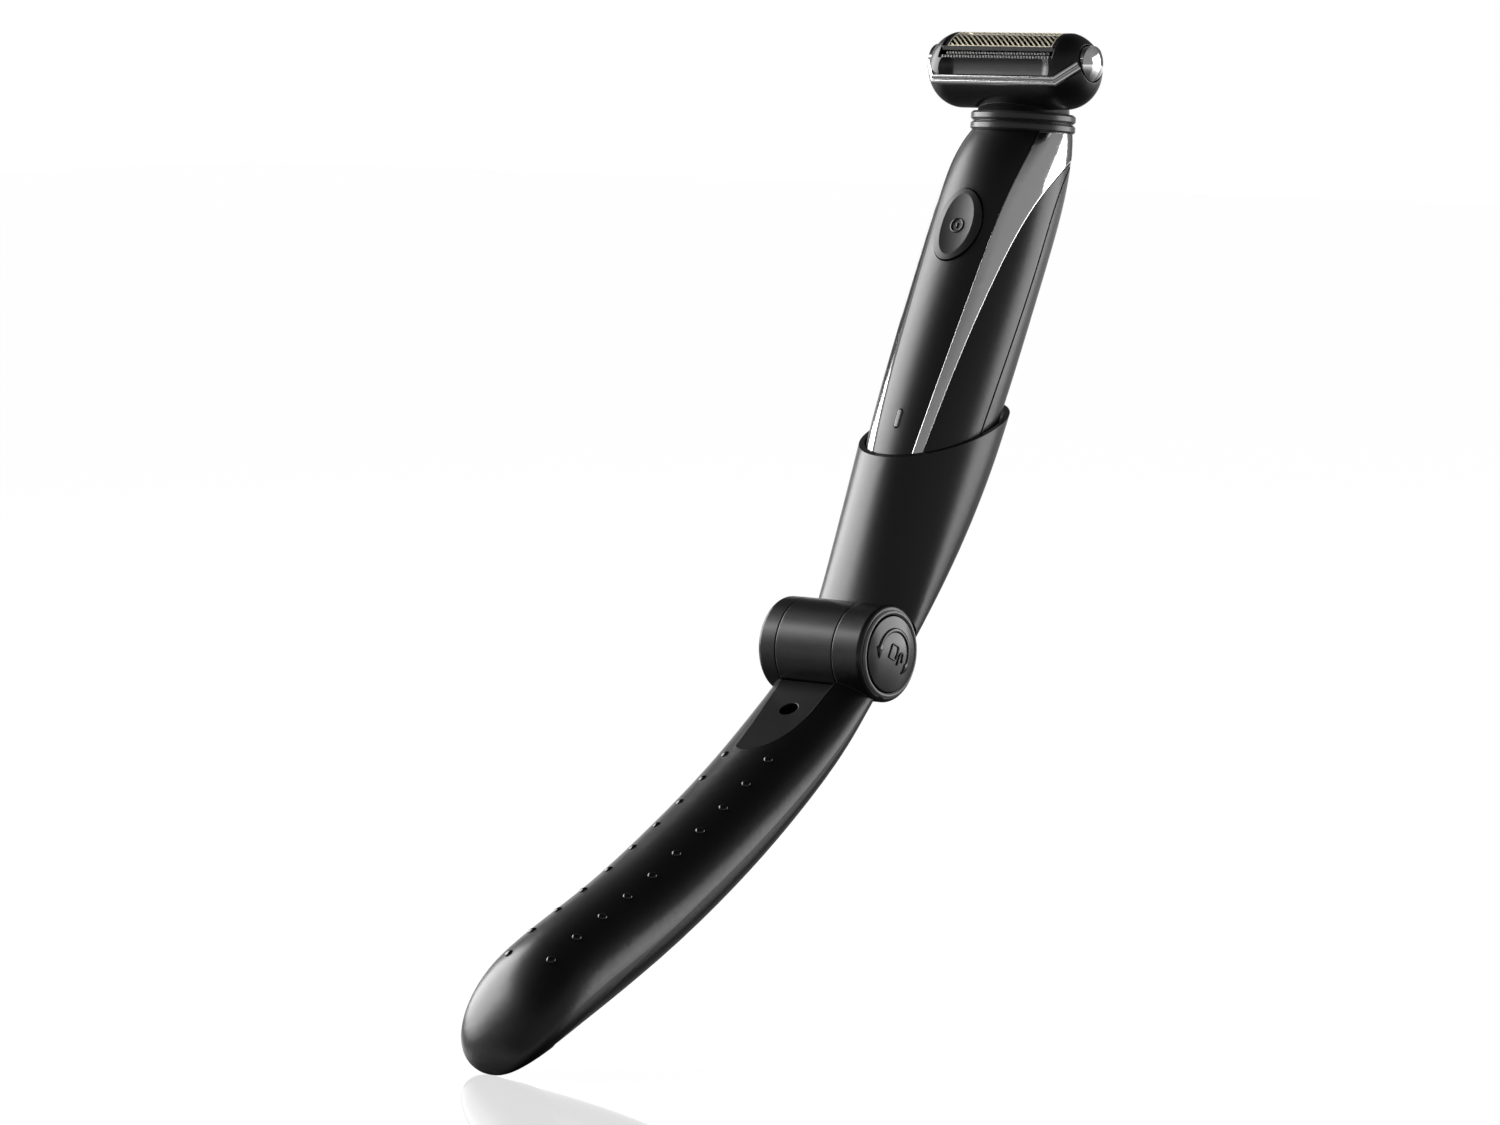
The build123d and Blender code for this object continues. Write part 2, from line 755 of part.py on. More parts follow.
with BuildPart() as lower_collar:
    with BuildSketch(collar_plane):
        Circle(ring_radius)
        Circle(neck_bore, mode=Mode.SUBTRACT)
    extrude(amount=ring_height)
    chamfer(lower_collar.edges().filter_by(GeomType.CIRCLE).sort_by(SortBy.RADIUS)[-2:], 0.6)
lower_collar.part.label = "lower_collar"
export_step(lower_collar.part, "parts/lower_collar.step")

with BuildPart() as upper_collar:
    with BuildSketch(collar_plane.offset(ring_height + ring_gap)):
        Circle(ring_radius)
        Circle(neck_radius, mode=Mode.SUBTRACT)
    extrude(amount=ring_height)
    chamfer(upper_collar.edges().filter_by(GeomType.CIRCLE).sort_by(SortBy.RADIUS)[-2:], 0.6)
upper_collar.part.label = "upper_collar"
export_step(upper_collar.part, "parts/upper_collar.step")

# Head base: a barrel along the hinge direction on a short neck
head_centre = hinge_centre + Vector(0, head_y, head_z)
head_plane = Plane(origin=head_centre, x_dir=(1, 0, 0), z_dir=(0, 0, 1))
head_front = Plane(origin=head_centre, x_dir=(1, 0, 0), z_dir=(0, -1, 0))
head_end = Plane(origin=head_centre, x_dir=(0, 1, 0), z_dir=(1, 0, 0))
dome = head_half_length - head_straight
roundel_floor = head_half_length - roundel_depth
roundel_top = head_half_length + roundel_proud


def head_at(x, y, z):
    return head_centre + Vector(x, y, z)


band_right = [head_at(head_straight + 0.32 * dome, -10.2, -2.4), head_at(head_straight + 0.81 * dome, -5.4, 1.8)]
band_left = [Vector(-p.X, p.Y, p.Z) for p in reversed(band_right)]
band_path = Polyline(*band_left, *band_right)

band_section = Plane(origin=band_path @ 0, x_dir=(0, 0, 1), z_dir=band_path % 0)

with BuildPart() as band_channel:
    with BuildSketch(band_section):
        SlotCenterToCenter(rib_apart, 2 * rib_radius)
        Rectangle(rib_apart + 2 * rib_radius, 3 * rib_radius, align=(Align.CENTER, Align.MIN))
    sweep(path=band_path, transition=Transition.RIGHT)

with BuildPart() as chrome_band:
    with BuildSketch(band_section):
        with GridLocations(rib_apart, 1, 2, 1):
            Circle(rib_radius)
        Rectangle(rib_apart, rib_radius, align=(Align.CENTER, Align.MAX))
    sweep(path=band_path, transition=Transition.RIGHT)
    with BuildSketch(head_end.offset(-40)):
        with Locations((0, roundel_lift)):
            Circle(roundel_radius + move_gap)
    extrude(amount=80, mode=Mode.SUBTRACT)
chrome_band.part.label = "chrome_band"
export_step(chrome_band.part, "parts/chrome_band.step")

scoop_centre = head_at(0, -scoop_axis, scoop_up)
scoop_half_length = front_scoop_straight + front_scoop_end

with BuildPart() as head_base:
    with BuildSketch(head_front):
        with BuildLine():
            Line((-head_half_length, 0), (head_half_length, 0))
            EllipticalCenterArc((head_straight, 0), dome, head_radius, 0, arc_size=90)
            Line((head_straight, head_radius), (-head_straight, head_radius))
            EllipticalCenterArc((-head_straight, 0), dome, head_radius, 90, arc_size=90)
        make_face()
    revolve(axis=Axis(head_centre, (1, 0, 0)))
    with BuildSketch(collar_plane.offset(ring_height)):
        Circle(neck_radius)
    extrude(amount=ring_gap + ring_height)
    with BuildSketch(collar_plane.offset(collar_height)):
        Circle(neck_radius)
    with BuildSketch(collar_plane.offset(collar_height + neck_height)):
        Ellipse(neck_top_half_width, neck_top_half_depth)
    loft()
    with BuildSketch(head_plane.offset(comb_low)):
        with Locations((0, -head_radius)):
            Rectangle(2 * pocket_half_length, 2 * head_radius)
    extrude(amount=head_radius, mode=Mode.SUBTRACT)
    with BuildSketch(head_plane.offset(frame_low - move_gap)):
        Rectangle(2 * pocket_half_length, 3 * head_radius)
    extrude(amount=head_radius, mode=Mode.SUBTRACT)
    with BuildSketch(head_plane.offset(bay_floor)):
        Rectangle(2 * bay_half_length, 2 * bay_half_depth)
    extrude(amount=2 * head_radius, mode=Mode.SUBTRACT)
    with BuildSketch(head_plane.offset(bay_floor)):
        Rectangle(2 * bridge_room_x, 2 * bridge_room_y)
    extrude(amount=-3 * head_radius, mode=Mode.SUBTRACT)
    with BuildSketch(Plane(origin=scoop_centre, x_dir=(1, 0, 0), z_dir=(0, -1, 0))):
        with BuildLine():
            Line((-scoop_half_length, 0), (scoop_half_length, 0))
            EllipticalCenterArc((front_scoop_straight, 0), front_scoop_end, front_scoop, 0, arc_size=90)
            Line((front_scoop_straight, front_scoop), (-front_scoop_straight, front_scoop))
            EllipticalCenterArc((-front_scoop_straight, 0), front_scoop_end, front_scoop, 90, arc_size=90)
        make_face()
    revolve(axis=Axis(scoop_centre, (1, 0, 0)), mode=Mode.SUBTRACT)
    with BuildSketch(head_end.offset(-40)):
        with Locations((0, roundel_lift)):
            Circle(roundel_radius + move_gap)
    extrude(amount=40 - roundel_floor, mode=Mode.SUBTRACT)
    with BuildSketch(head_end.offset(roundel_floor)):
        with Locations((0, roundel_lift)):
            Circle(roundel_radius + move_gap)
    extrude(amount=40, mode=Mode.SUBTRACT)
    add(band_channel.part, mode=Mode.SUBTRACT)
head_base.part.label = "head_base"
export_step(head_base.part, "parts/head_base.step")

# Domed release roundels in both ends of the head
roundel_back = roundel_floor + roundel_travel + move_gap

with BuildPart() as roundel_right:
    add(domed_disc(head_at(0, 0, roundel_lift), roundel_back, roundel_top, roundel_radius, roundel_dome))
roundel_right.part.label = "roundel_right"
export_step(roundel_right.part, "parts/roundel_right.step")

with BuildPart() as roundel_left:
    add(mirror(roundel_right.part, about=Plane.YZ))
roundel_left.part.label = "roundel_left"
export_step(roundel_left.part, "parts/roundel_left.step")

# Foil cassette: frame and perforated foil
window_half_length = foil_half_length - 0.6
foil_end = (foil_radius**2 - (foil_edge - foil_centre) ** 2) ** 0.5

with BuildPart() as foil_frame:
    with BuildSketch(head_plane.offset(frame_low)):
        Rectangle(2 * frame_half_length, 2 * frame_half_depth)
        Rectangle(2 * window_half_length, 2 * (foil_end - 0.4), mode=Mode.SUBTRACT)
    extrude(amount=foil_edge - frame_low)
    with BuildSketch(head_end.offset(foil_half_length + panel_gap)):
        with Locations((0, foil_centre)):
            Circle(foil_radius + foil_sheet)
        with Locations((0, foil_edge)):
            Rectangle(40, 40, align=(Align.CENTER, Align.MAX), mode=Mode.SUBTRACT)
    extrude(amount=frame_half_length - foil_half_length - panel_gap)
    with BuildSketch(head_end.offset(-frame_half_length)):
        with Locations((0, foil_centre)):
            Circle(foil_radius + foil_sheet)
        with Locations((0, foil_edge)):
            Rectangle(40, 40, align=(Align.CENTER, Align.MAX), mode=Mode.SUBTRACT)
    extrude(amount=frame_half_length - foil_half_length - panel_gap)
foil_frame.part.label = "foil_frame"
export_step(foil_frame.part, "parts/foil_frame.step")

with BuildPart() as foil:
    with BuildSketch(head_end.offset(-foil_half_length)):
        with Locations((0, foil_centre)):
            Circle(foil_radius + foil_sheet)
            Circle(foil_radius, mode=Mode.SUBTRACT)
        with Locations((0, foil_edge)):
            Rectangle(40, 40, align=(Align.CENTER, Align.MAX), mode=Mode.SUBTRACT)
    extrude(amount=2 * foil_half_length)
    for row in range(foil_rows):
        turn = radians(foil_row_turn * (row - (foil_rows - 1) / 2))
        outwards = (0, sin(turn), cos(turn))
        stagger = foil_hole_pitch / 2 if row % 2 else 0
        with BuildSketch(Plane(origin=head_at(0, 0, foil_centre), x_dir=(1, 0, 0), z_dir=outwards)):
            with Locations((stagger / 2 - foil_hole_pitch / 4, 0)):
                with GridLocations(foil_hole_pitch, 1, foil_columns, 1):
                    Rectangle(foil_hole_length, foil_hole_width)
        extrude(amount=2 * foil_radius, mode=Mode.SUBTRACT)
foil.part.label = "foil"
export_step(foil.part, "parts/foil.step")

# Long-hair trimmer: fixed comb and moving blade
with BuildPart() as trimmer_comb:
    with BuildSketch(head_plane.offset(comb_low)):
        with Locations((0, tooth_length - comb_front)):
            Rectangle(2 * comb_half_length, comb_root, align=(Align.CENTER, Align.MIN))
        with Locations((0, -comb_front)):
            with GridLocations(tooth_pitch, 1, comb_teeth, 1):
                Rectangle(tooth_width, tooth_length, align=(Align.CENTER, Align.MIN))
    extrude(amount=comb_high - comb_low)
trimmer_comb.part.label = "trimmer_comb"
export_step(trimmer_comb.part, "parts/trimmer_comb.step")

with BuildPart() as trimmer_blade:
    with BuildSketch(head_plane.offset(blade_low)):
        with Locations((0, tooth_length - comb_front + 0.3)):
            Rectangle(2 * blade_half_length, blade_root, align=(Align.CENTER, Align.MIN))
        with Locations((0, 0.3 - comb_front)):
            with GridLocations(tooth_pitch, 1, comb_teeth - 3, 1):
                Rectangle(tooth_width, tooth_length, align=(Align.CENTER, Align.MIN))
        with Locations((0, -cutter_half_depth)):
            Rectangle(blade_tab, blade_root, align=(Align.CENTER, Align.MAX))
    extrude(amount=blade_high - blade_low)
trimmer_blade.part.label = "trimmer_blade"
export_step(trimmer_blade.part, "parts/trimmer_blade.step")

# Inner cutter under the foil, with the drive bridge down to the motor
with BuildPart() as inner_cutter:
    with BuildSketch(head_end.offset(-cutter_half_length)):
        with Locations((0, foil_centre)):
            Circle(foil_radius - cutter_gap)
        with Locations((0, cutter_low)):
            Rectangle(40, 40, align=(Align.CENTER, Align.MAX), mode=Mode.SUBTRACT)
    extrude(amount=2 * cutter_half_length)
    with BuildSketch(head_plane):
        Rectangle(4 * cutter_half_length, 2 * cutter_half_depth)
    extrude(amount=2 * foil_radius, mode=Mode.INTERSECT)
    with BuildSketch(head_plane.offset(cutter_low + 2.0)):
        with GridLocations(cutter_pitch, 1, cutter_slots, 1):
            Rectangle(cutter_pitch / 2, 4 * foil_radius)
    extrude(amount=2 * foil_radius, mode=Mode.SUBTRACT)
inner_cutter.part.label = "inner_cutter"
export_step(inner_cutter.part, "parts/inner_cutter.step")

with BuildPart() as drive_bridge:
    with BuildSketch(head_plane.offset(cutter_low)):
        Rectangle(2 * fork_half_width, bridge_depth)
    extrude(amount=-bridge_length)
    with BuildSketch(head_front):
        with Locations((0, cutter_low - bridge_length)):
            Rectangle(2 * fork_room, 2 * fork_height)
    extrude(amount=40, both=True, mode=Mode.SUBTRACT)
drive_bridge.part.label = "drive_bridge"
export_step(drive_bridge.part, "parts/drive_bridge.step")
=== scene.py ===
"""Looks, light and camera for the body shaver on its folding handle.

Lengths are in metres, in the frame's own axes.
"""

from math import cos, pi, radians, sin

import bpy
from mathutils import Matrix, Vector
from mathutils.bvhtree import BVHTree


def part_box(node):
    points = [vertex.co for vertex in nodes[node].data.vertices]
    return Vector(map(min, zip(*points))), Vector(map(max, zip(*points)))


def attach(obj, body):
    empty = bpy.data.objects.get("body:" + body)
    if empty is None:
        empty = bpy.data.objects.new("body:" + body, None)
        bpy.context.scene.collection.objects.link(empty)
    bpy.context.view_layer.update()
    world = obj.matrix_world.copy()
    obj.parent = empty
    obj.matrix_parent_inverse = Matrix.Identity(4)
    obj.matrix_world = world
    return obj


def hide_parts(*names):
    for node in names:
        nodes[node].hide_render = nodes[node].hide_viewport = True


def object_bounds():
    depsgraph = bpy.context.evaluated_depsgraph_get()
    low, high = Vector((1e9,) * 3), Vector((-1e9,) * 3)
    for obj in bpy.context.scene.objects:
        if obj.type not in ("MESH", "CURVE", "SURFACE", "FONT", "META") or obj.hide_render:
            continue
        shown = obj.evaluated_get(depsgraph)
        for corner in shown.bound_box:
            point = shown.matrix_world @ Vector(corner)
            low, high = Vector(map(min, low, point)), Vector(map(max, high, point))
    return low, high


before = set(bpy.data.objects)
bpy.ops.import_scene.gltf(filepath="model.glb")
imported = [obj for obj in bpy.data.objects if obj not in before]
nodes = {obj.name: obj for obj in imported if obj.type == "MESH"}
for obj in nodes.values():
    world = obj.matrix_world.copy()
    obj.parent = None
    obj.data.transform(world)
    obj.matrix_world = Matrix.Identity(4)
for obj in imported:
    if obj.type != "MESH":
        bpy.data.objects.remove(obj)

cad_low, cad_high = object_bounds()
mm = 0.001

# Camera, at the photograph's viewing angle
view_azimuth = radians(38.5)
view_elevation = radians(6.4)
view_distance = 1.484
view_target = Vector((0, -16.76, 40.97)) * mm
focal_pixels = 5600
image_width = 1500
sensor_width = 36.0
view_reach = 20.0

to_camera = Vector(
    (sin(view_azimuth) * cos(view_elevation), -cos(view_azimuth) * cos(view_elevation), sin(view_elevation))
)
to_right = Vector((cos(view_azimuth), sin(view_azimuth), 0))
level_to_camera = Vector((sin(view_azimuth), -cos(view_azimuth), 0))

# Places on the object, read from the frame
axle_low, axle_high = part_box("hinge_axle")
hinge_y = (axle_low.y + axle_high.y) / 2
hinge_z = (axle_low.z + axle_high.z) / 2
shaver_lean = radians(27.4)
shaver_up = Vector((0, sin(shaver_lean), cos(shaver_lean)))
shaver_back = Vector((0, cos(shaver_lean), -sin(shaver_lean)))


# Nodes that the looks, the world and the floor share
noise_low, noise_high = 0.3, 0.7
bevel_samples = 16
edge_round = 0.3 * mm
trim_round = 0.5 * mm
grain_depth = 0.04 * mm
grain_detail = 2.0
plastic_ior = 1.55
white = (1, 1, 1, 1)


def principled(name):
    made = bpy.data.materials.new(name)
    made.use_nodes = True
    tree = made.node_tree
    return made, tree, tree.nodes["Principled BSDF"]


def noise(tree, scale, detail=3.0):
    place = tree.nodes.new("ShaderNodeTexCoord")
    made = tree.nodes.new("ShaderNodeTexNoise")
    made.inputs["Scale"].default_value = scale
    made.inputs["Detail"].default_value = detail
    tree.links.new(place.outputs["Object"], made.inputs["Vector"])
    return made.outputs["Fac"]


def spread(tree, value, low, high, start=noise_low, end=noise_high):
    """Value from start to end, spread from low to high."""
    made = tree.nodes.new("ShaderNodeMapRange")
    made.inputs["From Min"].default_value = start
    made.inputs["From Max"].default_value = end
    made.inputs["To Min"].default_value = low
    made.inputs["To Max"].default_value = high
    tree.links.new(value, made.inputs["Value"])
    return made.outputs["Result"]


def combine(tree, operation, *terms):
    """Math node on sockets and plain numbers."""
    made = tree.nodes.new("ShaderNodeMath")
    made.operation = operation
    for number, term in enumerate(terms):
        if isinstance(term, float):
            made.inputs[number].default_value = term
        else:
            tree.links.new(term, made.inputs[number])
    return made.outputs["Value"]


def ramp(tree, value, dark, light):
    made = tree.nodes.new("ShaderNodeValToRGB")
    stops = made.color_ramp.elements
    stops[0].position, stops[0].color = noise_low, (*dark, 1)
    stops[1].position, stops[1].color = noise_high, (*light, 1)
    tree.links.new(value, made.inputs["Fac"])
    return made.outputs["Color"]


def rounded_edges(tree, radius):
    made = tree.nodes.new("ShaderNodeBevel")
    made.samples = bevel_samples
    made.inputs["Radius"].default_value = radius
    return made.outputs["Normal"]


def bump(tree, shader, height, strength, rounded):
    made = tree.nodes.new("ShaderNodeBump")
    made.inputs["Strength"].default_value = strength
    made.inputs["Distance"].default_value = grain_depth
    tree.links.new(height, made.inputs["Height"])
    if rounded:
        tree.links.new(rounded_edges(tree, edge_round), made.inputs["Normal"])
    tree.links.new(made.outputs["Normal"], shader.inputs["Normal"])


def drifts(tree, shader, tone, rough, tone_scale, tone_drift, gloss_scale, gloss_drift):
    """Base colour and roughness that drift a little to each side of their values."""
    dark = [(1 - tone_drift) * c for c in tone]
    light = [(1 + tone_drift) * c for c in tone]
    tree.links.new(ramp(tree, noise(tree, tone_scale), dark, light), shader.inputs["Base Color"])
    gloss = spread(tree, noise(tree, gloss_scale), (1 - gloss_drift) * rough, (1 + gloss_drift) * rough)
    tree.links.new(gloss, shader.inputs["Roughness"])


# Materials
def plastic(name, tone, rough, grain=4200.0, grain_strength=0.12, rounded=True):
    """Moulded plastic: slow drifts of tone and gloss, and a fine moulded grain."""
    made, tree, shader = principled(name)
    drifts(tree, shader, tone, rough, tone_scale=60.0, tone_drift=0.15, gloss_scale=300.0, gloss_drift=0.03)
    shader.inputs["IOR"].default_value = plastic_ior
    bump(tree, shader, noise(tree, grain, grain_detail), grain_strength, rounded)
    return made


def metal(name, tone, rough, scale=400.0, rounded=0.0):
    """Plated or bright metal with faint drifts of polish."""
    made, tree, shader = principled(name)
    shader.inputs["Metallic"].default_value = 1.0
    drifts(tree, shader, tone, rough, tone_scale=45.0, tone_drift=0.04, gloss_scale=scale, gloss_drift=0.2)
    if rounded:
        tree.links.new(rounded_edges(tree, rounded), shader.inputs["Normal"])
    return made


satin_black = plastic("satin_black", (0.0035, 0.0035, 0.0037), 0.31)
shell_black = plastic("shell_black", (0.0035, 0.0035, 0.0037), 0.38, grain_strength=0.01, rounded=False)
soft_black = plastic("soft_black", (0.005, 0.005, 0.0053), 0.34, 5200.0, 0.12)
head_black = plastic("head_black", (0.005, 0.005, 0.0053), 0.34, grain_strength=0.05)
release_black = plastic("release_black", (0.0025, 0.0025, 0.0027), 0.22)
key_black = plastic("key_black", (0.004, 0.004, 0.0042), 0.42)
cover_black = plastic("cover_black", (0.002, 0.002, 0.0022), 0.22, grain_strength=0.04)
nub_black = plastic("nub_black", (0.006, 0.006, 0.0063), 0.12, grain_strength=0.02)
# Marks: a black a few times lighter than the buttons they sit on, a painted highlight along the raised
# strokes
mark_black_painted_highlight = plastic("mark_black_painted_highlight", (0.012, 0.012, 0.0125), 0.18, grain_strength=0.02)
collar_grey = plastic("collar_grey", (0.04, 0.04, 0.0405), 0.3, rounded=False)
# Bezel ring: light grey against the black around it, a painted highlight for its raised rounded rim
bezel_grey_painted_highlight = plastic("bezel_grey_painted_highlight", (0.22, 0.22, 0.22), 0.3)
inner_grey = plastic("inner_grey", (0.28, 0.28, 0.28), 0.5)
board_green = plastic("board_green", (0.012, 0.075, 0.025), 0.4)
window_clear = plastic("window_clear", (0.30, 0.305, 0.31), 0.25, grain_strength=0.03)
chrome = metal("chrome", (0.83, 0.83, 0.84), 0.1)
trim_chrome = metal("trim_chrome", (0.83, 0.83, 0.84), 0.1, rounded=trim_round)
steel = metal("steel", (0.42, 0.42, 0.41), 0.26, 2500.0)
foil_gold = metal("foil_gold", (0.95, 0.88, 0.70), 0.55, 2500.0)
# Inner cutter: steel darkened to near black, painted shade for its place in the dark behind the foil
blade_steel_painted_shade = metal("blade_steel_painted_shade", (0.06, 0.06, 0.06), 0.3, 2500.0)

finishes = {
    "handle_shell": satin_black,
    "handle_cover": cover_black,
    "grip_nubs": nub_black,
    "hinge_axle": steel,
    "hinge_bezel": bezel_grey_painted_highlight,
    "release_button": release_black,
    "holder_cup": satin_black,
    "hinge_bush": inner_grey,
    "front_shell": shell_black,
    "trim_right": trim_chrome,
    "trim_left": chrome,
    "side_panel_right": soft_black,
    "side_panel_left": soft_black,
    "rear_shell": soft_black,
    "base_cap": satin_black,
    "charge_socket": inner_grey,
    "chassis": inner_grey,
    "battery_cell": steel,
    "motor": steel,
    "eccentric": steel,
    "circuit_board": board_green,
    "key_switch": inner_grey,
    "led_window": window_clear,
    "power_button": key_black,
    "lower_collar": collar_grey,
    "upper_collar": collar_grey,
    "chrome_band": chrome,
    "head_base": head_black,
    "roundel_right": chrome,
    "roundel_left": chrome,
    "foil_frame": head_black,
    "foil": foil_gold,
    "trimmer_comb": steel,
    "trimmer_blade": steel,
    "inner_cutter": blade_steel_painted_shade,
    "drive_bridge": inner_grey,
}
for name, finish in finishes.items():
    nodes[name].data.materials.clear()
    nodes[name].data.materials.append(finish)


# Pieces made on the frame's surfaces
strip_sink = 0.1 * mm
strip_top_share = 0.62


def new_piece(name, verts, faces, finish, body):
    data = bpy.data.meshes.new(name)
    data.from_pydata(verts, [], faces)
    data.materials.append(finish)
    for face in data.polygons:
        face.use_smooth = True
    made = bpy.data.objects.new(name, data)
    bpy.context.scene.collection.objects.link(made)
    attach(made, body)
    return made


def strip(name, path, widths, height, closed, finish, body):
    """Raised strip with sloping sides along a path of (point, normal) pairs."""
    count = len(path)
    verts = []
    for number, (point, normal) in enumerate(path):
        if closed:
            before, after = path[number - 1][0], path[(number + 1) % count][0]
        else:
            before, after = path[max(number - 1, 0)][0], path[min(number + 1, count - 1)][0]
        side = normal.cross(after - before).normalized()
        half = widths[number] / 2
        top = half * strip_top_share
        for across, up in ((-half, -strip_sink), (-top, height), (top, height), (half, -strip_sink)):
            verts.append(point + side * across + normal * up)
    faces = []
    for number in range(count if closed else count - 1):
        here, there = 4 * number, 4 * ((number + 1) % count)
        for corner in range(4):
            other = (corner + 1) % 4
            faces.append((here + corner, here + other, there + other, there + corner))
    if not closed:
        faces.append((0, 1, 2, 3))
        last = 4 * (count - 1)
        faces.append((last + 3, last + 2, last + 1, last))
    return new_piece(name, verts, faces, finish, body)


def surface_of(node):
    graph = bpy.context.evaluated_depsgraph_get()
    return BVHTree.FromObject(nodes[node], graph)


def landed(tree, origin, direction):
    """Where a ray from origin lands, with the normal that faces it."""
    point, normal, _, _ = tree.ray_cast(origin, direction)
    if normal.dot(direction) > 0:
        normal = -normal
    return point, normal


def ring_points(radius, start, end, count):
    turns = [radians(start + (end - start) * i / (count - 1)) for i in range(count)]
    return [(radius * cos(turn), radius * sin(turn)) for turn in turns]


# Open padlock and double arrow on the release button, in millimetres from the hinge's axis
release_face = surface_of("release_button")
release_from_x = 0.1
mark_height = 0.34 * mm
mark_stroke = 0.5 * mm


def on_release(across, up):
    origin = Vector((release_from_x, hinge_y + across * mm, hinge_z + up * mm))
    return landed(release_face, origin, Vector((-1, 0, 0)))


arrow_radius = 6.5
arrow_from, arrow_to = -62.0, 184.0
arrow_steps = 49
head_steps = 6
shaft_width, head_width, tip_width = 1.5, 2.9, 0.05
arrow_widths = []
for step in range(arrow_steps):
    left = min(step, arrow_steps - 1 - step)
    if left < head_steps:
        arrow_widths.append((tip_width + head_width * left / (head_steps - 1)) * mm)
    else:
        arrow_widths.append(shaft_width * mm)
arrow_path = [on_release(*p) for p in ring_points(arrow_radius, arrow_from, arrow_to, arrow_steps)]
strip("mark_arrow", arrow_path, arrow_widths, mark_height, False, mark_black_painted_highlight, "release")

lock_corner = 0.6
lock_corner_steps = 4
lock_corners = ((-1.0, 3.1), (1.5, 1.75), (-0.2, -1.7), (-2.9, -0.4))
lock_outline = []
for number, corner in enumerate(lock_corners):
    corner = Vector(corner)
    before = Vector(lock_corners[number - 1])
    after = Vector(lock_corners[(number + 1) % len(lock_corners)])
    start = corner + (before - corner).normalized() * lock_corner
    end = corner + (after - corner).normalized() * lock_corner
    for step in range(lock_corner_steps + 1):
        share = step / lock_corner_steps
        lock_outline.append((1 - share) ** 2 * start + 2 * share * (1 - share) * corner + share**2 * end)
lock_path = [on_release(*p) for p in lock_outline]
lock_widths = [mark_stroke] * len(lock_path)
strip("mark_lock", lock_path, lock_widths, mark_height, True, mark_black_painted_highlight, "release")
shackle = ((0.5, -3.0), (1.7, -0.75), (2.2, -0.1), (2.85, 0.1), (3.3, -0.35), (3.25, -1.0), (2.7, -2.7))
shackle_path = [on_release(*p) for p in shackle]
shackle_widths = [mark_stroke] * len(shackle_path)
strip("mark_shackle", shackle_path, shackle_widths, mark_height, False, mark_black_painted_highlight, "release")

# Ring and bar on the power button, in millimetres from its middle
ring_radius = 1.95
ring_end = 345.0
ring_steps = 24
ring_stroke = 0.75 * mm
bar_stroke = 0.7 * mm
bar_places = (-0.8, -0.4, 0, 0.4, 0.8)
key_mark_height = 0.3 * mm
button_ray = 0.05
button_low, button_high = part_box("power_button")
button_centre = (button_low + button_high) / 2
button_face = surface_of("power_button")


def on_button(across, up):
    place = button_centre + Vector((across * mm, 0, 0)) + shaver_up * (up * mm)
    return landed(button_face, place - shaver_back * button_ray, shaver_back)


ring_path = [on_button(*p) for p in ring_points(ring_radius, 0, ring_end, ring_steps)]
ring_widths = [ring_stroke] * len(ring_path)
strip("mark_ring", ring_path, ring_widths, key_mark_height, True, mark_black_painted_highlight, "power")
bar_path = [on_button(0, up) for up in bar_places]
bar_widths = [bar_stroke] * len(bar_path)
strip("mark_bar", bar_path, bar_widths, key_mark_height, False, mark_black_painted_highlight, "power")

# Grip nubs: steep little domes seated on the handle where the frame has its nubs
nub_radius = 1.25 * mm
nub_height = 0.62 * mm
nub_sink = 0.15 * mm
nub_reach = 3.0 * mm
nub_rings = 8
nub_sides = 24


def nub_middles():
    """Middle of each nub of the frame."""
    clumps = []
    for vert in nodes["grip_nubs"].data.vertices:
        for clump in clumps:
            if (clump[0] - vert.co).length < nub_reach:
                clump.append(vert.co)
                break
        else:
            clumps.append([vert.co])
    return [sum(clump, Vector()) / len(clump) for clump in clumps]


handle_skin = surface_of("handle_shell")
nub_verts = []
nub_faces = []
for middle in nub_middles():
    seat, normal, _, _ = handle_skin.find_nearest(middle)
    if normal.z < normal.y:
        normal = -normal
    across = normal.orthogonal().normalized()
    along = normal.cross(across)
    first = len(nub_verts)
    rings = [(nub_radius, -nub_sink)]
    for ring in range(nub_rings):
        rise = pi / 2 * ring / nub_rings
        rings.append((nub_radius * cos(rise), nub_height * sin(rise)))
    for wide, up in rings:
        for side in range(nub_sides):
            turn = 2 * pi * side / nub_sides
            nub_verts.append(seat + normal * up + (across * cos(turn) + along * sin(turn)) * wide)
    nub_verts.append(seat + normal * nub_height)
    top = len(nub_verts) - 1
    for ring in range(len(rings) - 1):
        here, there = first + ring * nub_sides, first + (ring + 1) * nub_sides
        for side in range(nub_sides):
            other = (side + 1) % nub_sides
            nub_faces.append((here + side, here + other, there + other, there + side))
    here = top - nub_sides
    for side in range(nub_sides):
        nub_faces.append((here + side, here + (side + 1) % nub_sides, top))
    nub_faces.append(tuple(reversed(range(first, first + nub_sides))))
domes = new_piece("nub_domes", nub_verts, nub_faces, nub_black, "handle")
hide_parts("grip_nubs")

# Foil: slanting bars between thin edges, on the frame's curved foil
foil_low, foil_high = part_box("foil")
bar_pitch = 1.75 * mm
bar_width = 0.65 * mm
bar_slant = 10.2 * mm
bar_steps = 32
foil_skin = 0.12 * mm
edge_width = 0.25 * mm
half_chord = (foil_high.y - foil_low.y) / 2
foil_rise = foil_high.z - foil_low.z
foil_radius = (half_chord**2 + foil_rise**2) / (2 * foil_rise)
foil_axis_y = (foil_low.y + foil_high.y) / 2
foil_axis_z = foil_high.z - foil_radius
edge_turn = pi / 2 - abs(Vector((half_chord, foil_low.z - foil_axis_z)).angle_signed(Vector((1, 0))))


def foil_point(x, turn, depth):
    hug = foil_radius - depth
    return Vector((x, foil_axis_y + hug * sin(turn), foil_axis_z + hug * cos(turn)))


net_verts = []
net_faces = []


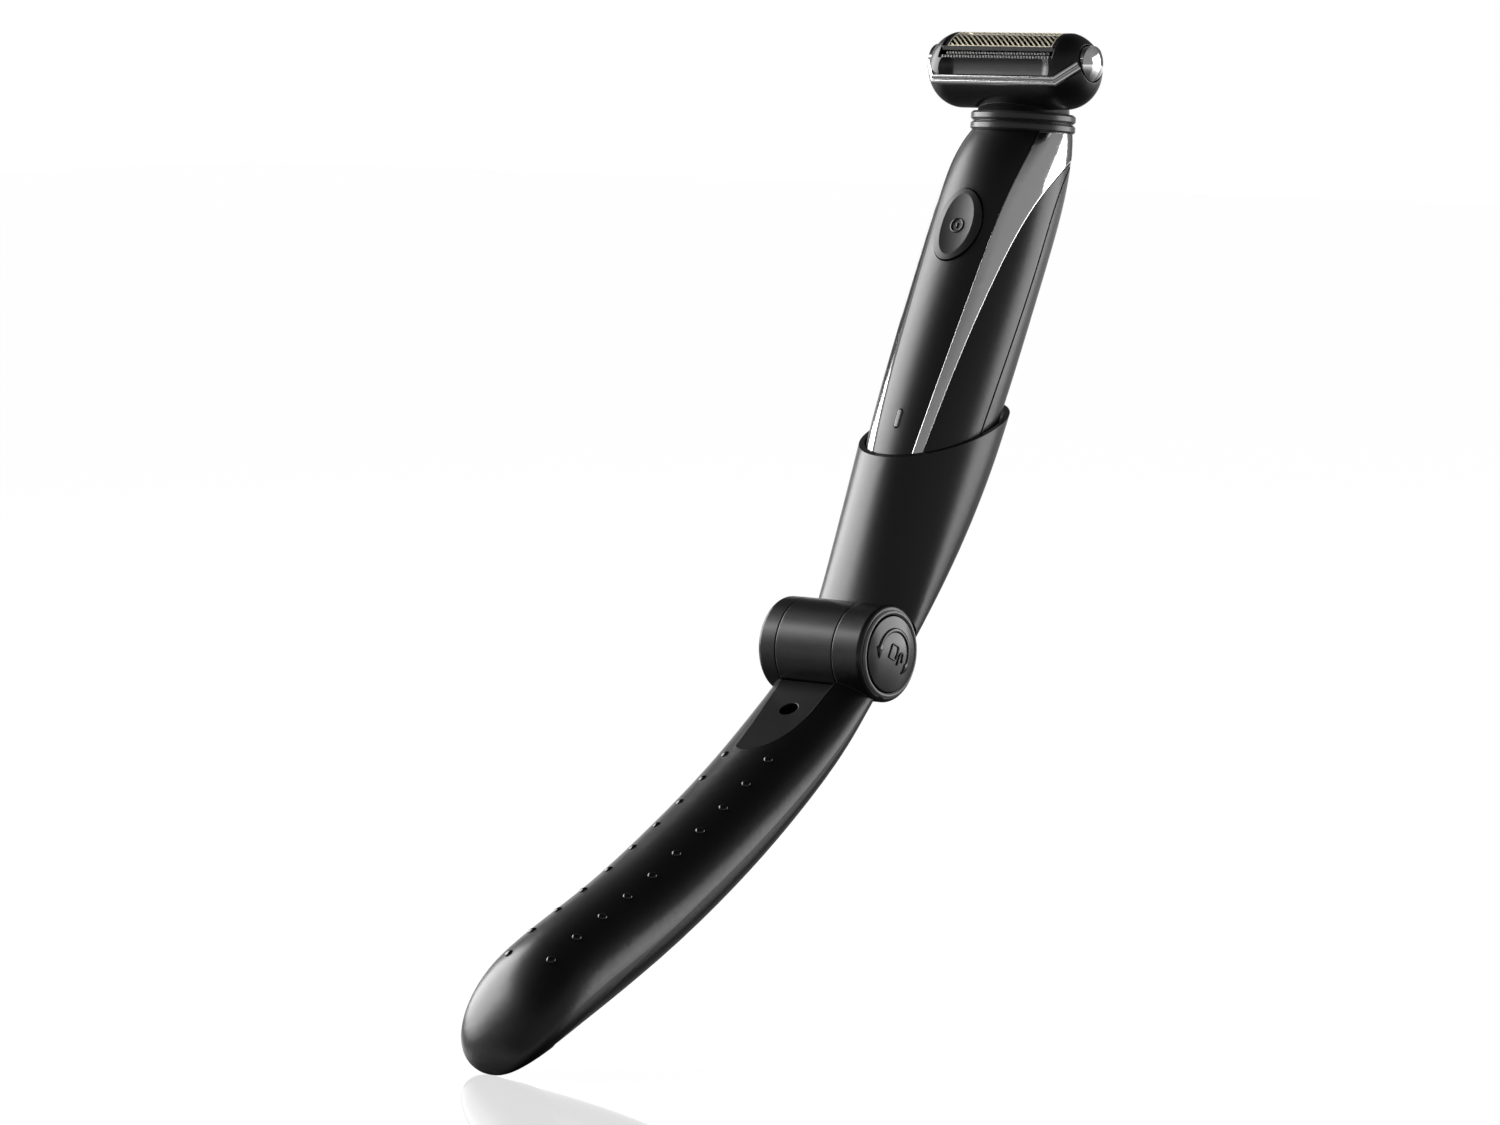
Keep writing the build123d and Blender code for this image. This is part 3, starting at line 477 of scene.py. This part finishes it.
def foil_ribbon(rungs):
    """Thin closed ribbon through rungs, each a pair of (x, turn) ends."""
    first = len(net_verts)
    for one, other in rungs:
        for (x, turn), depth in ((one, 0), (other, 0), (other, foil_skin), (one, foil_skin)):
            net_verts.append(foil_point(x, turn, depth))
    for number in range(len(rungs) - 1):
        here, there = first + 4 * number, first + 4 * number + 4
        for corner in range(4):
            other = (corner + 1) % 4
            net_faces.append((here + corner, here + other, there + other, there + corner))
    last = first + 4 * (len(rungs) - 1)
    net_faces.append((first + 3, first + 2, first + 1, first))
    net_faces.append((last, last + 1, last + 2, last + 3))


arc = [edge_turn * (2 * step / bar_steps - 1) for step in range(bar_steps + 1)]
bar_x = foil_low.x - bar_slant
while bar_x + bar_width < foil_high.x:
    for half in (arc[: bar_steps // 2 + 1], arc[bar_steps // 2 :]):
        rungs = []
        for turn in half:
            x = bar_x + bar_slant * abs(turn) / edge_turn
            if foil_low.x < x and x + bar_width < foil_high.x:
                rungs.append(((x, turn), (x + bar_width, turn)))
        if len(rungs) > 1:
            foil_ribbon(rungs)
    bar_x += bar_pitch
for x in (foil_low.x, foil_high.x - edge_width):
    foil_ribbon([((x, turn), (x + edge_width, turn)) for turn in arc])
rib_turn = edge_width / foil_radius
for turn in (-edge_turn, -rib_turn / 2, edge_turn - rib_turn):
    foil_ribbon([((x, turn), (x, turn + rib_turn)) for x in (foil_low.x, foil_high.x)])
net = new_piece("foil_net", net_verts, net_faces, foil_gold, "cassette")
for face in net.data.polygons:
    face.use_smooth = False
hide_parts("foil")


# Light: a dim studio, lighter in front on the right and darker overhead, a white backdrop, and two soft boxes
front_right = (level_to_camera + to_right).normalized()
front_levels = ((0.0, 0.06), (0.37, 0.1), (0.63, 0.22), (0.85, 0.27), (1.0, 0.28))
behind_levels = ((0.0, 0.0), (0.958, 0.0), (0.966, 0.94), (1.0, 0.94))
overhead_from, overhead_to = 0.6, 0.85
overhead_level = 0.2


def ramp_along(tree, direction, axis, levels):
    """Level that follows how far a direction turns towards an axis."""
    facing = tree.nodes.new("ShaderNodeVectorMath")
    facing.operation = "DOT_PRODUCT"
    facing.inputs[1].default_value = axis
    tree.links.new(direction, facing.inputs[0])
    made = tree.nodes.new("ShaderNodeValToRGB")
    stops = made.color_ramp.elements
    for stop, (position, level) in zip((stops[0], stops[1]), (levels[0], levels[-1])):
        stop.position, stop.color = position, (level, level, level, 1)
    for position, level in levels[1:-1]:
        stops.new(position).color = (level, level, level, 1)
    tree.links.new(spread(tree, facing.outputs["Value"], 0.0, 1.0, -1.0, 1.0), made.inputs["Fac"])
    return made.outputs["Color"]


def studio_world():
    world = bpy.data.worlds.new("studio")
    bpy.context.scene.world = world
    world.use_nodes = True
    tree = world.node_tree
    shade = tree.nodes["Background"]
    direction = tree.nodes.new("ShaderNodeTexCoord").outputs["Generated"]
    level = ramp_along(tree, direction, front_right, front_levels)
    behind = ramp_along(tree, direction, -to_camera, behind_levels)
    parts = tree.nodes.new("ShaderNodeSeparateXYZ")
    tree.links.new(direction, parts.inputs["Vector"])
    overhead = spread(tree, parts.outputs["Z"], 1.0, overhead_level, overhead_from, overhead_to)
    dimmed = combine(tree, "MULTIPLY", level, overhead)
    path = tree.nodes.new("ShaderNodeLightPath").outputs
    mirrored = combine(tree, "MULTIPLY_ADD", path["Is Glossy Ray"], behind, dimmed)
    seen = combine(tree, "MAXIMUM", path["Is Camera Ray"], path["Is Singular Ray"])
    shown = tree.nodes.new("ShaderNodeMix")
    shown.data_type = "FLOAT"
    shown.inputs["B"].default_value = 1.0
    tree.links.new(seen, shown.inputs["Factor"])
    tree.links.new(mirrored, shown.inputs["A"])
    tree.links.new(shown.outputs["Result"], shade.inputs["Strength"])
    shade.inputs["Color"].default_value = white


def softbox(name, turn, rise, width, tall, radiance):
    """Area light a metre from the object's middle, aimed at it, by its turn from the camera and its rise."""
    middle = (cad_low + cad_high) / 2
    data = bpy.data.lights.new(name, "AREA")
    data.shape = "RECTANGLE"
    data.size = width
    data.size_y = tall
    data.energy = radiance * pi * width * tall
    lamp = bpy.data.objects.new(name, data)
    bpy.context.scene.collection.objects.link(lamp)
    level = level_to_camera * cos(radians(turn)) + to_right * sin(radians(turn))
    lamp.location = middle + level * cos(radians(rise)) + Vector((0, 0, sin(radians(rise))))
    lamp.rotation_euler = (lamp.location - middle).to_track_quat("Z", "Y").to_euler()


studio_world()
softbox("left_box", turn=-116.0, rise=20.0, width=1.06, tall=0.75, radiance=6.8)
softbox("right_box", turn=104.0, rise=7.0, width=0.76, tall=0.55, radiance=3.8)


# Floor: white, with a mirror of the object that fades from above, and a faint shadow
floor_half = 4.0
paper_tone = 0.08
floor_glow = 0.97
far_from, far_to = 0.6, 2.5
mirror_fall = 4.0
mirror_share = 0.75


def floor():
    data = bpy.data.meshes.new("floor")
    sides = ((-1, -1), (1, -1), (1, 1), (-1, 1))
    corners = [(x * floor_half, y * floor_half, cad_low.z) for x, y in sides]
    data.from_pydata(corners, [], [(0, 1, 2, 3)])
    made = bpy.data.objects.new("floor", data)
    bpy.context.scene.collection.objects.link(made)
    look = bpy.data.materials.new("floor")
    look.use_nodes = True
    tree = look.node_tree
    tree.nodes.remove(tree.nodes["Principled BSDF"])
    paper = tree.nodes.new("ShaderNodeBsdfDiffuse")
    paper.inputs["Color"].default_value = (paper_tone, paper_tone, paper_tone, 1)
    glow = tree.nodes.new("ShaderNodeEmission")
    path = tree.nodes.new("ShaderNodeLightPath").outputs
    place = tree.nodes.new("ShaderNodeNewGeometry")
    reach = tree.nodes.new("ShaderNodeVectorMath")
    reach.operation = "LENGTH"
    tree.links.new(place.outputs["Position"], reach.inputs[0])
    far = spread(tree, reach.outputs["Value"], 0.0, 1.0, far_from, far_to)
    mirrored = combine(tree, "MULTIPLY", path["Is Glossy Ray"], far)
    strength = combine(tree, "MULTIPLY_ADD", path["Is Camera Ray"], floor_glow, mirrored)
    tree.links.new(strength, glow.inputs["Strength"])
    both = tree.nodes.new("ShaderNodeAddShader")
    tree.links.new(paper.outputs["BSDF"], both.inputs[0])
    tree.links.new(glow.outputs["Emission"], both.inputs[1])
    mirror = tree.nodes.new("ShaderNodeBsdfGlossy")
    mirror.inputs["Color"].default_value = white
    mirror.inputs["Roughness"].default_value = 0.0
    grazing = tree.nodes.new("ShaderNodeLayerWeight")
    falling = combine(tree, "POWER", grazing.outputs["Facing"], mirror_fall)
    mix = tree.nodes.new("ShaderNodeMixShader")
    tree.links.new(combine(tree, "MULTIPLY", falling, mirror_share), mix.inputs["Fac"])
    tree.links.new(both.outputs["Shader"], mix.inputs[1])
    tree.links.new(mirror.outputs["BSDF"], mix.inputs[2])
    tree.links.new(mix.outputs["Shader"], tree.nodes["Material Output"].inputs["Surface"])
    data.materials.append(look)


floor()

camera_data = bpy.data.cameras.new("camera")
camera_data.sensor_fit = "HORIZONTAL"
camera_data.sensor_width = sensor_width
camera_data.lens = focal_pixels / image_width * sensor_width
camera_data.clip_end = view_reach
camera = bpy.data.objects.new("camera", camera_data)
bpy.context.scene.collection.objects.link(camera)
camera.location = view_target + to_camera * view_distance
camera.rotation_euler = to_camera.to_track_quat("Z", "Y").to_euler()
bpy.context.scene.camera = camera
bpy.context.scene.view_settings.view_transform = "Standard"
